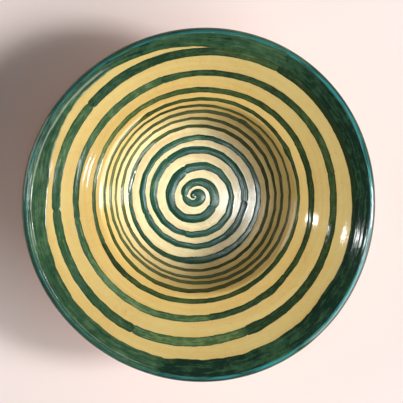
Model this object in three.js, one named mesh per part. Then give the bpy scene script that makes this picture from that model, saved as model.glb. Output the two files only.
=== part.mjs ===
// Hand-painted deep dish: a wheel-thrown clay body with a deep well and a wide flared rim, a separate foot
// ring, a glaze skin inside and outside, and one green line brushed in a spiral from the rim to the centre.
// Millimetres, +Z up. Every piece is shaped about the floor's axis, as on the wheel, and then the well's top and
// the flared rim are eased off centre, and the rim slightly out of round, as on a dish carried by hand.
import * as THREE from 'three';

// ---- The dish: heights and radii of the glazed inner surface
const floorHeight = 18;
const floorRadius = 60;
const wallTopRadius = 93;
const wallRise = 46;
const flareStart = 84;
const flareReach = 72;
const flareRise = 20;
const flarePower = 1.1;
const lipStart = 152.7;
const lipRadius = 4.6;

// ---- Thicknesses: wall is the whole section, gap is the space left between touching pieces
const wall = 8;
const glaze = 0.8;
const gap = 0.3;
const clayDepth = glaze + gap;

// ---- The foot ring, turned from its own coil of clay
const footOuter = 61.5;
const footInner = 53;
const footFace = [55.5, 58.5];
const footChamfer = 2;
const footTop = floorHeight - wall + clayDepth - gap;

// ---- The rim band and the spiral line: how high they stand on the glaze, and how thick they are
const paintGap = 0.4;
const bandGap = 0.3;
const bandThickness = 0.7;
const bandLipEnd = -30;
const lineEdge = 0.25;
const lineCrown = 0.55;
const lineEnd = 0.55;
const endGap = 0.5;

// ---- What the hand did: how far the well's top and the rim stand off the floor's axis, the radii over which
// each eases into place, and how far the rim is out of round
const topOffset = new THREE.Vector2(2.5, 1.2);
const topEase = [60, 88];
const rimOffset = new THREE.Vector2(3.6, -5.8);
const rimEase = [92, 156];
const ovalSwing = 0.76;
const lobeSwing = 1.17;
const lobeAngle = 57;
const rimRadius = 160;

const latheSegments = 48;
const degree = Math.PI / 180;

// Radii at which the inner and the outer surface are cut into facets, closer together where they bend
const innerStations = [30, 58, 61, 64, 67, 70, 74.5, 79, 82.5, 86, 89.5, 94, 106, 121, 138, lipStart];
const outerStations = [146, 130, 112, 97, 91, 86, 81, 76, 71, 66.5];

// The spiral's distance from the floor's axis at every quarter turn. It starts a quarter turn before the +X
// side, under the rim band, and runs anticlockwise to the middle of the floor.
const firstQuarter = -90;
const quarterRadii = [
  141, 141.4, 136, 128.4, 126.3,
  121.7, 114.4, 111.4, 108.8,
  102.3, 97.8, 95.2, 94.8,
  91, 89.2, 86, 85.4,
  83.9, 83.7, 80.6, 79.8,
  78.1, 78.9, 76, 75.6,
  73.8, 73.2, 69.8, 70.1,
  68.5, 67.1, 62.1, 61.3,
  60.4, 56.4, 50.3, 47.7,
  47.2, 44.5, 40, 36.7,
  34.3, 28.7, 24.3, 21.4,
  18.8, 14.5, 11, 9.5,
  8.1, 4.8, 2.6,
];

// The line is laid one brush load at a time: the angle at which each load ends, and the width it leaves
const lineStart = -36;
const brushLoads = [
  [60, 6], [138, 8.5], [183, 8.5], [242, 8], [290, 7.4], [372, 6.8],
  [467, 6.8], [549, 7], [635, 6.2], [678, 5.5],
  [835, 5.6], [925, 4.4], [995, 5.2],
  [1108, 4.2], [1202, 4.4], [1320, 5],
  [1488, 5.6], [1575, 4.8], [1690, 6],
  [1862, 5.8], [1952, 6.4], [2065, 5.2],
  [2285, 5], [2365, 5.6], [2470, 5.4],
  [2670, 5], [2788, 4.6], [2883, 6],
  [2960, 5], [3080, 6], [3234, 6.4],
  [3367, 7.2], [3495, 6.6], [3710, 7.4],
  [3930, 9], [4140, 8.4], [4440, 5],
];

// The rim band is brushed round in four lengths: where each starts and ends, and how far in it reaches. They
// start and end on the turned pieces' own facets, so that their flats lie along the glaze's flats.
const facetAngle = 360 / latheSegments;
const bandLengths = [
  { from: -5 * facetAngle, to: 8 * facetAngle, reach: 145.4 },
  { from: 8 * facetAngle, to: 19 * facetAngle, reach: 144.6 },
  { from: 19 * facetAngle, to: 34 * facetAngle, reach: 141.5 },
  { from: 34 * facetAngle, to: 43 * facetAngle, reach: 139.8 },
];

const clamp01 = (t) => Math.min(Math.max(t, 0), 1);
const smoothStep = (t) => t * t * (3 - 2 * t);
const smootherStep = (t) => t * t * t * (t * (6 * t - 15) + 10);

// Height of the glazed inner surface: a flat floor, a steep wall that eases in and out, and a flared rim
function innerHeight(radius) {
  const up = smootherStep(clamp01((radius - floorRadius) / (wallTopRadius - floorRadius)));
  const out = Math.max((radius - flareStart) / flareReach, 0);
  return floorHeight + wallRise * up + flareRise * out ** flarePower;
}

// Angle of the inner surface to the horizontal
function innerSlope(radius) {
  const step = 0.01;
  return Math.atan2(innerHeight(radius + step) - innerHeight(radius - step), 2 * step);
}

// A point of the section that stands a given lift off the inner surface, measured square to it
function sectionPoint(radius, lift) {
  const slope = innerSlope(radius);
  return new THREE.Vector2(radius - lift * Math.sin(slope), innerHeight(radius) + lift * Math.cos(slope));
}

// The lip is a round bead: points on its arc, from one angle down to another
const lipCentre = sectionPoint(lipStart, -lipRadius);
const lipInside = 90 + innerSlope(lipStart) / degree;

function lipPoint(angle, radius) {
  const direction = new THREE.Vector2(Math.cos(angle * degree), Math.sin(angle * degree));
  return direction.multiplyScalar(radius).add(lipCentre);
}

function lipArc(from, to, radius, steps) {
  return Array.from({ length: steps + 1 }, (_, i) => lipPoint(from + (to - from) * (i / steps), radius));
}

// Eases a point of the section, turned to an angle, into its place on the finished dish
function settle(radius, angle, height) {
  const eased = ([from, to]) => smoothStep(clamp01((radius - from) / (to - from)));
  const shift = new THREE.Vector2().addScaledVector(topOffset, eased(topEase)).lerp(rimOffset, eased(rimEase));
  const turn = angle - lobeAngle * degree;
  const swing = (ovalSwing * Math.cos(2 * turn) + lobeSwing * Math.cos(3 * turn)) / rimRadius;
  const reach = radius * (1 + eased(rimEase) * swing);
  return new THREE.Vector3(reach * Math.cos(angle) + shift.x, reach * Math.sin(angle) + shift.y, height);
}

function finish(name, geometry, look) {
  const mesh = new THREE.Mesh(geometry, new THREE.MeshStandardMaterial({ metalness: 0, ...look }));
  mesh.name = name;
  return mesh;
}

// A turned piece: its profile is spun about the floor's axis and then settled
function turned(name, profile, look) {
  const geometry = new THREE.LatheGeometry(profile, latheSegments);
  geometry.rotateX(Math.PI / 2);
  const position = geometry.attributes.position;
  for (let i = 0; i < position.count; i += 1) {
    const radius = Math.hypot(position.getX(i), position.getY(i));
    const angle = Math.atan2(position.getY(i), position.getX(i));
    const place = settle(radius, angle, position.getZ(i));
    position.setXYZ(i, place.x, place.y, place.z);
  }
  return finish(name, geometry, look);
}

// A brushed piece: a block whose length runs round the dish, its width across and its height off the surface
function brushed(name, steps, across, section, angles, look) {
  const geometry = new THREE.BoxGeometry(1, 1, 1, steps, across, 1);
  const position = geometry.attributes.position;
  for (let i = 0; i < position.count; i += 1) {
    const along = position.getX(i) + 0.5;
    const angle = angles[0] + (angles[1] - angles[0]) * along;
    const point = section(angle, position.getY(i) + 0.5, position.getZ(i) + 0.5);
    const place = settle(point.x, angle * degree, point.y);
    position.setXYZ(i, place.x, place.y, place.z);
  }
  return finish(name, geometry, look);
}

// ---- Clay body: the thrown wall from the middle of the floor, over the lip and back under the floor
function clayBody() {
  const under = sectionPoint(0, clayDepth - wall);
  const profile = [
    sectionPoint(0, -clayDepth),
    ...innerStations.map((radius) => sectionPoint(radius, -clayDepth)),
    ...lipArc(lipInside, lipInside - 180, lipRadius - clayDepth, 5).slice(1),
    ...outerStations.map((radius) => sectionPoint(radius, clayDepth - wall)),
    new THREE.Vector2(floorRadius, under.y),
    under,
  ];
  return turned('clay_body', profile.reverse(), { color: '#b98a66', roughness: 0.85 });
}

// ---- Foot ring: a low ring with a flat face to stand on and both its edges eased
function footRing() {
  const profile = [
    new THREE.Vector2(footInner, footTop),
    new THREE.Vector2(footFace[0] - footChamfer / 2, footChamfer),
    new THREE.Vector2(footFace[0], 0),
    new THREE.Vector2(footFace[1], 0),
    new THREE.Vector2(footFace[1] + footChamfer / 2, footChamfer),
    new THREE.Vector2(footOuter, footTop),
    new THREE.Vector2(footInner, footTop),
  ];
  return turned('foot_ring', profile, { color: '#b98a66', roughness: 0.9 });
}

// ---- Glaze skins: the pale ground inside, as far as the top of the lip, and the honey skin outside
const skinSplit = 45;
const splitGap = 5;

function groundGlaze() {
  const upper = innerStations.map((radius) => sectionPoint(radius, 0));
  const lower = innerStations.map((radius) => sectionPoint(radius, -glaze));
  const lipTop = lipArc(lipInside, skinSplit + splitGap, lipRadius, 3).slice(1);
  const lipUnder = lipArc(lipInside, skinSplit + splitGap, lipRadius - glaze, 3).slice(1);
  const profile = [
    sectionPoint(0, 0),
    ...upper,
    ...lipTop,
    ...lipUnder.reverse(),
    ...lower.reverse(),
    sectionPoint(0, -glaze),
  ];
  return turned('ground_glaze', profile.reverse(), { color: '#f0cd73', roughness: 0.12 });
}

function outerGlaze() {
  const lipOut = lipArc(skinSplit - splitGap, lipInside - 180, lipRadius, 4);
  const lipIn = lipArc(skinSplit - splitGap, lipInside - 180, lipRadius - glaze, 4);
  const outside = outerStations.map((radius) => sectionPoint(radius, -wall));
  const inside = outerStations.map((radius) => sectionPoint(radius, glaze - wall));
  const profile = [...lipOut, ...outside, ...inside.reverse(), ...lipIn.reverse(), lipOut[0].clone()];
  return turned('outer_glaze', profile.reverse(), { color: '#cf9a45', roughness: 0.2 });
}

// ---- Rim band: lengths of green laid from the flare, over the lip and a little way down the outside
const bandFlareSteps = 2;
const bandLipSteps = 6;

function bandLength(length, index) {
  const across = bandFlareSteps + bandLipSteps;
  const lipTurn = lipInside - bandLipEnd;
  const section = (angle, inward, height) => {
    const lift = bandGap + height * bandThickness;
    const step = across * (1 - inward);
    if (step <= bandFlareSteps) {
      return sectionPoint(length.reach + (lipStart - length.reach) * (step / bandFlareSteps), lift);
    }
    return lipPoint(lipInside - lipTurn * ((step - bandFlareSteps) / bandLipSteps), lipRadius + lift);
  };
  const pull = endGap / 2 / length.reach / degree;
  const steps = Math.round((length.to - length.from) / facetAngle);
  const angles = [length.from + pull, length.to - pull];
  return brushed(`rim_band_${index + 1}`, steps, across, section, angles, { color: '#1e463c', roughness: 0.15 });
}

// ---- Spiral line: each brush load is a low crowned ribbon with narrowed ends, butted to the next
const quarterPoints = quarterRadii.map((radius, i) => new THREE.Vector2(firstQuarter + 90 * i, radius));
const spiral = new THREE.SplineCurve(quarterPoints);
const spiralSpan = 90 * (quarterRadii.length - 1);
const lineStep = 12;

function lineRadius(angle) {
  return spiral.getPoint((angle - firstQuarter) / spiralSpan).y;
}

function lineLength(from, to, width, index) {
  const pull = endGap / 2 / lineRadius((from + to) / 2) / degree;
  const angles = [from + pull, to - pull];
  const section = (angle, inward, height) => {
    const middle = lineRadius(angle);
    const narrow = angle === angles[0] || angle === angles[1] ? lineEnd : 1;
    const outward = (0.5 - inward) * width * narrow * Math.cos(innerSlope(middle));
    const crown = 1 - (2 * inward - 1) ** 2;
    const thickness = lineEdge + (lineCrown - lineEdge) * crown;
    return sectionPoint(middle + outward, paintGap + height * thickness);
  };
  const steps = Math.ceil((to - from) / lineStep);
  const name = `spiral_stroke_${String(index + 1).padStart(2, '0')}`;
  return brushed(name, steps, 2, section, angles, { color: '#2f6450', roughness: 0.15 });
}

// ---- The dish, moved so that the origin is under the middle of its outline, on the surface it stands on
const dish = new THREE.Group();
dish.add(clayBody(), footRing(), groundGlaze(), outerGlaze());
bandLengths.forEach((length, index) => dish.add(bandLength(length, index)));
brushLoads.forEach(([to, width], index) => {
  const from = index === 0 ? lineStart : brushLoads[index - 1][0];
  dish.add(lineLength(from, to, width, index));
});
const outline = new THREE.Box3().setFromObject(dish).getCenter(new THREE.Vector3());
dish.position.set(-outline.x, -outline.y, 0);

export default dish;
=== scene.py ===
"""Hand painted ceramic dish: a deep-welled, wide-rimmed earthenware dish, with a green line brushed round it
in a spiral.

Every piece is a surface worked out on a grid of two parameters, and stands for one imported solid. Lengths in
the shape functions are millimetres; meshes are written in metres.
"""

import math

import bpy
import numpy as np
from bpy.props import FloatProperty, FloatVectorProperty, IntProperty, PointerProperty
from mathutils import Matrix, Vector


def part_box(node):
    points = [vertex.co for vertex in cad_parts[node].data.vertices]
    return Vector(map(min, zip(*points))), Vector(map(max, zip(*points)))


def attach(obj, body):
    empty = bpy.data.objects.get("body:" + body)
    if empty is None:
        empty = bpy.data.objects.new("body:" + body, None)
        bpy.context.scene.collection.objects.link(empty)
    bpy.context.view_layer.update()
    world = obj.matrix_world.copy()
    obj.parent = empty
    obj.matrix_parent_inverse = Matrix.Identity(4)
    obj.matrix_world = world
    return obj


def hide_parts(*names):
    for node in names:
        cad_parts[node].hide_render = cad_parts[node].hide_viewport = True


bl_info = {
    "name": "Hand Painted Ceramic Dish",
    "version": (1, 0, 0),
    "blender": (4, 5, 0),
    "location": "View3D > Sidebar > Dish",
    "description": "Builds a hand painted ceramic dish, its glazes and its brushed spiral",
    "category": "Add Mesh",
}

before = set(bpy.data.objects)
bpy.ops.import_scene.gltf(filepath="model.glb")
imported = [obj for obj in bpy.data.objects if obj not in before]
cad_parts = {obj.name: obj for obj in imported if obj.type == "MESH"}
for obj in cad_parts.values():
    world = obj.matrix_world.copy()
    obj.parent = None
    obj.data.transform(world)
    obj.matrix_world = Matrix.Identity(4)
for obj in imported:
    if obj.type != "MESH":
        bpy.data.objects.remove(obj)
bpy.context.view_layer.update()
MM = 0.001


def colour(red, green, blue):
    """The linear colour of three display values from 0 to 255."""
    parts = [value / 255 for value in (red, green, blue)]
    return tuple(v / 12.92 if v <= 0.04045 else ((v + 0.055) / 1.055) ** 2.4 for v in parts)


# ---- The sizes and colours that can be changed ----
def length(name, description, default):
    return FloatProperty(
        name=name, description=description, default=default, min=0, unit="LENGTH", precision=4
    )


def tint(name, description, *display):
    shade = colour(*display)
    return FloatVectorProperty(
        name=name, description=description, default=shade, size=3, min=0, max=1, subtype="COLOR"
    )


class DishSizes(bpy.types.PropertyGroup):
    """Sizes of the thrown form, of the coats on it and of the meshes' steps."""

    floor_height: length("Floor Height", "Height of the glazed floor above the table", 0.018)
    floor_radius: length("Floor Radius", "Radius of the flat floor", 0.060)
    wall_top_radius: length("Well Radius", "Radius of the well where its wall ends", 0.093)
    wall_rise: length("Wall Rise", "Height of the well's wall", 0.046)
    flare_start: length("Flare Start", "Radius at which the flared rim starts to rise", 0.084)
    flare_reach: length("Flare Reach", "Width over which the flared rim rises", 0.072)
    flare_rise: length("Flare Rise", "Height that the flared rim gains over its reach", 0.020)
    lip_start: length("Lip Start", "Radius at which the flare turns into the rounded lip", 0.1527)
    lip_radius: length("Lip Radius", "Radius of the rounded lip with its glaze", 0.0050)
    lip_depth: length("Lip Depth", "Depth of the middle of the lip under the flare", 0.0046)
    wall: length("Wall Thickness", "Thickness of the thrown wall", 0.008)
    glaze: length("Glaze Thickness", "Depth of the glaze coats", 0.0008)
    ripple: length("Throwing Ripple", "Height of the ripples that the thrower's fingers left", 0.00011)
    grid_step: length("Grid Step", "Length of one step of the painted pieces' grids", 0.0011)
    turns: IntProperty(name="Turned Steps", description="Steps round a piece", default=360, min=24, max=720)


class DishColours(bpy.types.PropertyGroup):
    """Colours of the glazes, of the brushed colour and of the clay."""

    ground: tint("Ground", "Pale yellow ground glaze", 204, 181, 117)
    # Partly painted light: the floor's ground is paler glaze and is also painted lighter, standing for the
    # brighter light on the well's floor
    ground_pale_painted_light: tint("Ground Pale", "Ground glaze on the floor, where it is palest", 247, 234, 188)
    ground_warm: tint("Ground Warm", "Ground glaze on the wall and round the well's top", 222, 172, 84)
    ground_thick: tint("Ground Pooled", "Ground glaze where it has pooled", 190, 148, 76)
    line_thick: tint("Line Thick", "Brushed colour where it lies thick on the floor", 14, 62, 48)
    line_mid: tint("Line Middle", "Brushed colour at its usual depth on the floor", 38, 86, 66)
    line_thin: tint("Line Thin", "Brushed colour where it is dragged thin on the floor", 96, 132, 98)
    # The olive shades are partly the green's own change and partly painted shade, laid on most on the right
    # of the flare
    olive_thick: tint("Olive Thick", "The same, thick, on the wall and flare", 34, 50, 28)
    olive_mid: tint("Olive Middle", "The same, at its usual depth, on the wall and flare", 62, 80, 44)
    olive_thin: tint("Olive Thin", "The same, dragged thin, on the wall and flare", 98, 118, 66)
    line_edge: tint("Line Edge", "Edge of a stroke, where green meets yellow", 66, 64, 22)
    rim_dark: tint("Rim Dark", "Rim band where it lies thick", 20, 42, 32)
    rim_mid: tint("Rim Middle", "Rim band at its usual depth", 46, 76, 52)
    rim_olive: tint("Rim Olive", "Rim band where the yellow shows through", 72, 100, 70)
    lip_blue: tint("Lip Turquoise", "Rim band where it thins on the lip's crest", 44, 128, 132)
    honey: tint("Honey", "Outer glaze", 186, 122, 48)
    clay: tint("Clay", "Bare fired clay", 186, 134, 98)
    table: tint("Table", "Floor that the dish stands on", 236, 222, 220)


# ---- What the hand did ----
FLARE_POWER = 1.1
LONG_RIPPLE = {"length": 43, "strength": 2.4, "phase": -2.45, "start": (96, 106)}
SHORT_RIPPLE = {"length": 8.5, "strength": 0.3, "phase": 1.3}
RIPPLES_START = (66, 84)
RIPPLES_END = (148, 153)
RIPPLE_ON_FLOOR = 0.35
TOP_OFFSET = (2.5, 1.2)
TOP_EASE = (60, 88)
RIM_OFFSET = (3.6, -5.8)
RIM_EASE = (92, 156)
OVAL_SWING = 0.76
LOBE_SWING = 1.17
LOBE_ANGLE = 57
RIM_RADIUS = 160

# The brush's way in from the rim: angle in degrees, distance from the floor's axis and width of the line
BRUSH_WAY = np.array([
    (-60, 143, 6), (-30, 142, 6), (0, 141, 6.4), (30, 139.4, 6.5), (60, 138.4, 6.7), (90, 136.2, 8.8),
    (120, 133.7, 10.4), (184, 128.4, 8), (242, 129.3, 7.6), (289, 124.4, 7.5), (329, 123.5, 7.1),
    (358, 121.8, 6.6), (389, 121.6, 7.4), (450, 114.4, 6.5), (481, 111.5, 8.3), (542, 111.4, 5.8),
    (601, 111.4, 6), (635, 108.3, 5.6), (666, 106.4, 5.3), (702, 103.9, 4.8), (717, 102.4, 5.6),
    (763, 102.3, 6), (810, 97.8, 5.4), (850, 96.3, 4.7), (903, 95.3, 3.6), (947, 96.8, 5), (990, 95, 4.5),
    (1048, 91.5, 4.4), (1077, 91, 2.8), (1106, 90.8, 3.8), (1144, 91.2, 3.7), (1170, 89.2, 3.8),
    (1202, 87.7, 4.2), (1232, 86.5, 3.8), (1270, 85.7, 4.6), (1296, 86.4, 4.6), (1333, 86.6, 5.4),
    (1378, 84.2, 6), (1438, 83.8, 3.6), (1487, 84.6, 3.4), (1530, 83.8, 4.9), (1577, 82.6, 4.8),
    (1602, 81.1, 7), (1641, 80.2, 6.6), (1680, 79.6, 7.4), (1739, 79.8, 6.6), (1798, 78.2, 5.4),
    (1861, 80.1, 7.6), (1911, 78, 8), (1952, 76.4, 7), (2030, 75.8, 5.6), (2070, 75.7, 7),
    (2129, 74.4, 6.7), (2159, 73.8, 5), (2206, 73.8, 7.2), (2250, 73.4, 6.8), (2316, 70.8, 6.8),
    (2350, 69.6, 7.4), (2400, 70, 6), (2430, 70.2, 5.4), (2510, 68.6, 5), (2565, 68.2, 5.8),
    (2610, 67.1, 4.9), (2670, 63.7, 5), (2709, 61.8, 4.6), (2759, 62.4, 5), (2805, 61, 7.4),
    (2850, 60.1, 5.4), (2881, 60.4, 5.2), (2911, 59.3, 4.6), (2960, 57, 5.2), (2995, 53.8, 6),
    (3030, 52, 5.6), (3079, 49.1, 6.2), (3150, 47.7, 5.8), (3210, 47.2, 6.7), (3241, 47.2, 7.1),
    (3301, 45.9, 7.1), (3345, 43.6, 7.6), (3404, 40.5, 7.6), (3479, 36.9, 5.9), (3581, 35.2, 6.7),
    (3601, 34.3, 5.6), (3661, 31.4, 7.6), (3691, 28.7, 8.6), (3734, 25, 10.2), (3808, 23.6, 8.1),
    (3869, 21.4, 8.6), (3947, 18.9, 9.1), (3962, 18.6, 9.3), (4023, 15.2, 8.6), (4052, 13.3, 8.2),
    (4108, 11.3, 7.4), (4140, 9.8, 6.6), (4185, 7.6, 7), (4230, 5.9, 8), (4275, 5.4, 9), (4320, 5.5, 9.6),
    (4365, 4.8, 8.8), (4410, 3.7, 6.8), (4455, 3.1, 5.6), (4500, 2.7, 4.6), (4560, 1.4, 2.4),
    (4600, 1, 1.8),
])

# One row for a brush load: the angle where it ends, and how thickly it lies along its length, from 0 (dragged
# thin) to 1 (as thick as it goes)
LINE_START = -36
BRUSH_LOADS = (
    (60, (0.9, 0.95, 0.9)), (138, (0.35, 0.8, 0.8, 0.7)), (183, (0.45, 0.4, 0.55)),
    (242, (0.5, 0.55, 0.6)), (290, (0.3, 0.25, 0.4)), (372, (0.9, 0.85, 0.8, 0.7)),
    (467, (0.62, 0.7, 0.66)), (549, (0.45, 0.4, 0.5)), (635, (0.4, 0.22, 0.3, 0.35)), (678, (0.85, 0.75)),
    (835, (0.7, 0.78, 0.6, 0.5)), (925, (0.35, 0.28, 0.4)), (995, (0.8, 0.72, 0.5)),
    (1108, (0.8, 0.82, 0.6, 0.35, 0.75)), (1202, (0.5, 0.8, 0.5, 0.5, 0.7)),
    (1320, (0.35, 0.35, 0.5, 0.5)), (1488, (0.6, 0.8, 0.85, 0.7, 0.5)), (1575, (0.4, 0.45, 0.85, 0.85)),
    (1690, (0.2, 0.3, 0.5, 0.6)), (1862, (0.42, 0.8, 0.88, 0.85)), (1952, (0.4, 0.85, 0.88)),
    (2065, (0.5, 0.48, 0.5)), (2285, (0.5, 0.55, 0.85, 0.8, 0.5)), (2365, (0.3, 0.35, 0.8)),
    (2470, (0.45, 0.5, 0.7)), (2670, (0.9, 0.88, 0.6, 0.5, 0.5)), (2788, (0.5, 0.62, 0.65)),
    (2883, (0.6, 0.6)), (2960, (0.5, 0.6, 0.75)), (3080, (0.3, 0.55, 0.65)), (3234, (0.6, 0.62, 0.66)),
    (3367, (0.55, 0.6, 0.7)), (3495, (0.38, 0.45, 0.78, 0.75)), (3710, (0.55, 0.6, 0.6, 0.64)),
    (3930, (0.75, 0.78, 0.65)), (4140, (0.6, 0.6, 0.62)), (4560, (0.5, 0.6, 0.78, 0.7)),
)

# Where the brush touched down, stopped or slipped: angle, side (1 out, -1 in, 0 both), size and spread
SLIPS = np.array([
    (294, 0, 0.9, 3), (467, 1, 0.8, 4), (562, 0, 0.6, 3), (668, 1, 0.7, 4), (1108, 0, 1.2, 3),
    (1202, 0, 0.7, 3), (1335, -1, 0.7, 4), (1860, 1, 0.9, 4), (2118, 0, 0.5, 2), (2788, -1, 1.1, 5),
    (2820, -1, 0.9, 4), (3198, 1, 0.8, 6), (3345, 1, 0.8, 5),
])

# The rim band: its four lengths and, by angle, how far in its edge reaches, how thickly it lies, and how
# bare the lip's crest is
BAND_LENGTHS = ((-37.5, 60), (60, 142.5), (142.5, 255), (255, 322.5))
BAND_EDGE = np.array([
    (-38, 138), (-15, 139.5), (0, 140.6), (30, 140.6), (60, 140.8), (86, 140.7), (100, 143.5), (125, 146),
    (138, 145.1), (150, 142.2), (160, 140.2), (170, 136.8), (180, 137.4), (213, 141.7), (240, 142.2),
    (257, 142), (263, 140.4), (285, 139.7), (310, 139.5), (323, 137.8),
])
BAND_LOAD = np.array([
    (-38, 0.88), (0, 0.86), (50, 0.78), (62, 0.55), (120, 0.62), (140, 0.55), (150, 0.6), (178, 0.5),
    (195, 0.5), (212, 0.66), (235, 0.5), (254, 0.5), (258, 0.85), (288, 0.8), (296, 0.6), (306, 0.8),
    (323, 0.86),
])
BAND_CREST = np.array([
    (-40, 1), (0, 1), (45, 0.8), (90, 0.55), (150, 0.6), (176, 0.6), (200, 0.4), (250, 0.45), (290, 0.9),
    (323, 1),
])
BAND_LIP_END = -30
BAND_SINK, BAND_EDGE_SINK = 0.3, 0.03
BAND_THIN, BAND_THICK, BAND_TOP = 0.26, 0.2, 0.52
ROLL_HEIGHT, ROLL_PLACE, ROLL_WIDTH = 0.3, 1.2, 1.1
SKIN_SPLIT = 45
SPLIT_GAP = 5

# The outside: radii of the inner surface under which the outer curve passes, and the foot ring's section
OUTER_STATIONS = (146, 130, 112, 97, 91, 86, 81, 76, 71, 66.5)
FOOT_SECTION = (
    (53, 10.9), (54.5, 2), (54.9, 0.7), (55.8, 0.05), (57, 0), (58.2, 0.05), (59.1, 0.7), (59.5, 2),
    (61.5, 10.9),
)
FOOT_MIDDLE = 57
FOOT_MARKS = {"depth": 0.09, "pitch": 2.4, "start": (1, 3), "end": (9, 11)}
FOOT_CHIPS = 0.12
UNDER_MARKS = {"depth": 0.16, "pitch": 5.2, "start": (2, 8), "end": (42, 48)}
NIB_HEIGHT, NIB_WIDTH = 0.9, 5

# The glazes: where the yellow pools at the floor's edge, and the honey glaze's lower edge, with the size,
# step and seed of its drips
POOL_PLACE, POOL_WIDTH = 3, 5
HONEY_STOPS = 20
HONEY_LAP = 0.3
HONEY_DRIPS = ((1.6, 24, 11), (0.8, 9, 12))


# ---- Curves and noise, as whole arrays ----
def ease(value, start, end):
    """0 before start, 1 after end, and 3t^2 - 2t^3 between them."""
    t = np.clip((np.asarray(value, float) - start) / (end - start), 0, 1)
    return t * t * (3 - 2 * t)


def smooth_through(knots, values, at):
    """A curve through the values at the knots, of cubics whose slope at a knot is the mean of its chords."""
    values = np.asarray(values, float)
    knots = np.asarray(knots, float)
    wide = (-1,) + (1,) * (values.ndim - 1)
    chord = np.diff(values, axis=0) / np.diff(knots).reshape(wide)
    slope = np.concatenate([chord[:1], (chord[1:] + chord[:-1]) / 2, chord[-1:]])
    i = np.clip(np.searchsorted(knots, at) - 1, 0, len(knots) - 2)
    span = (knots[i + 1] - knots[i]).reshape(wide)
    t = ((at - knots[i]) / (knots[i + 1] - knots[i])).reshape(wide)
    return (
        values[i] * (1 + 2 * t) * (1 - t) ** 2
        + values[i + 1] * t * t * (3 - 2 * t)
        + span * (slope[i] * t * (1 - t) ** 2 - slope[i + 1] * t * t * (1 - t))
    )


def wander(distance, step, seed):
    """A smooth random line from -1 to 1 that changes its mind about once a step."""
    distance = np.asarray(distance, float)
    count = int(np.ptp(distance) / step) + 5
    heights = np.random.default_rng(seed).uniform(-1, 1, count)
    place = (distance - distance.min()) / step + 1
    i = place.astype(int)
    t = place - i
    t = t * t * (3 - 2 * t)
    return heights[i] * (1 - t) + heights[i + 1] * t


class Form:
    """The thrown form. A point of its section is a distance from the floor's axis and a height."""

    def __init__(self, sizes):
        for name in DishSizes.__annotations__:
            setattr(self, name, getattr(sizes, name) / (1 if name == "turns" else MM))
        low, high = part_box("foot_ring")
        self.axis = ((low.x + high.x) / 2 / MM, (low.y + high.y) / 2 / MM)
        self.lip_centre = self.point(np.array(self.lip_start), -self.lip_depth)
        self.lip_inside = 90 + math.degrees(float(self.slope(np.array(self.lip_start))))

    def height(self, radius, angle=None):
        """The floor's height, plus the wall's rise eased by 6t^5 - 15t^4 + 10t^3, plus the flare's rise, a
        power of the distance. With an angle, the ripples that the thrower's fingers left are added."""
        t = np.clip((radius - self.floor_radius) / (self.wall_top_radius - self.floor_radius), 0, 1)
        up = t ** 3 * (t * (6 * t - 15) + 10)
        out = np.maximum((radius - self.flare_start) / self.flare_reach, 0) ** FLARE_POWER
        total = self.floor_height + self.wall_rise * up + self.flare_rise * out
        if angle is not None:
            total = total + self.ripples(radius, angle)
        return total

    def ripples(self, radius, angle):
        """Two sines of the radius that turn with the angle, weaker on the floor and gone at the lip."""
        long, short = (
            wave["strength"] * np.sin(2 * np.pi * radius / wave["length"] - turns * angle + wave["phase"])
            for turns, wave in ((1, LONG_RIPPLE), (2, SHORT_RIPPLE))
        )
        fade = RIPPLE_ON_FLOOR + (1 - RIPPLE_ON_FLOOR) * ease(radius, *RIPPLES_START)
        fade = fade * (1 - ease(radius, *RIPPLES_END))
        return self.ripple * fade * (long * ease(radius, *LONG_RIPPLE["start"]) + short)

    def slope(self, radius):
        """Angle of the section to the level, from the heights a little either side."""
        near = 0.005
        return np.arctan2(self.height(radius + near) - self.height(radius - near), 2 * near)

    def point(self, radius, lift, angle=None):
        """The point a given lift off the inner surface, measured square to it."""
        slope = self.slope(radius)
        return radius - lift * np.sin(slope), self.height(radius, angle) + lift * np.cos(slope)

    def lip(self, degrees, radius):
        """A point of the lip's round bead."""
        turn = np.radians(degrees)
        return self.lip_centre[0] + radius * np.cos(turn), self.lip_centre[1] + radius * np.sin(turn)

    def over_lip(self, radius, beyond, lift, angle):
        """The inner surface out to the lip, then round its bead by the distance beyond the lip's start."""
        flat = self.point(np.minimum(radius, self.lip_start), lift, angle)
        degrees = self.lip_inside - np.degrees(np.maximum(beyond, 0) / self.lip_radius)
        swell = self.lip_depth + (self.lip_radius - self.lip_depth) * ease(beyond, 0, 3)
        bead = self.lip(degrees, swell + lift)
        past = beyond > 0
        return np.where(past, bead[0], flat[0]), np.where(past, bead[1], flat[1])

    def settle(self, radius, angle, height):
        """Turns a point of the section to an angle, eases the well's top and the rim off the floor's axis,
        and the rim out of round by r (a cos 2u + b cos 3u) / R, and gives metres."""
        top = ease(radius, *TOP_EASE)
        rim = ease(radius, *RIM_EASE)
        turn = angle - math.radians(LOBE_ANGLE)
        swing = (OVAL_SWING * np.cos(2 * turn) + LOBE_SWING * np.cos(3 * turn)) / RIM_RADIUS
        reach = radius * (1 + rim * swing)
        east, north = (TOP_OFFSET[k] * top * (1 - rim) + RIM_OFFSET[k] * rim + self.axis[k] for k in (0, 1))
        point = [reach * np.cos(angle) + east, reach * np.sin(angle) + north, height + 0 * angle]
        return np.stack(point, -1) * MM


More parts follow.
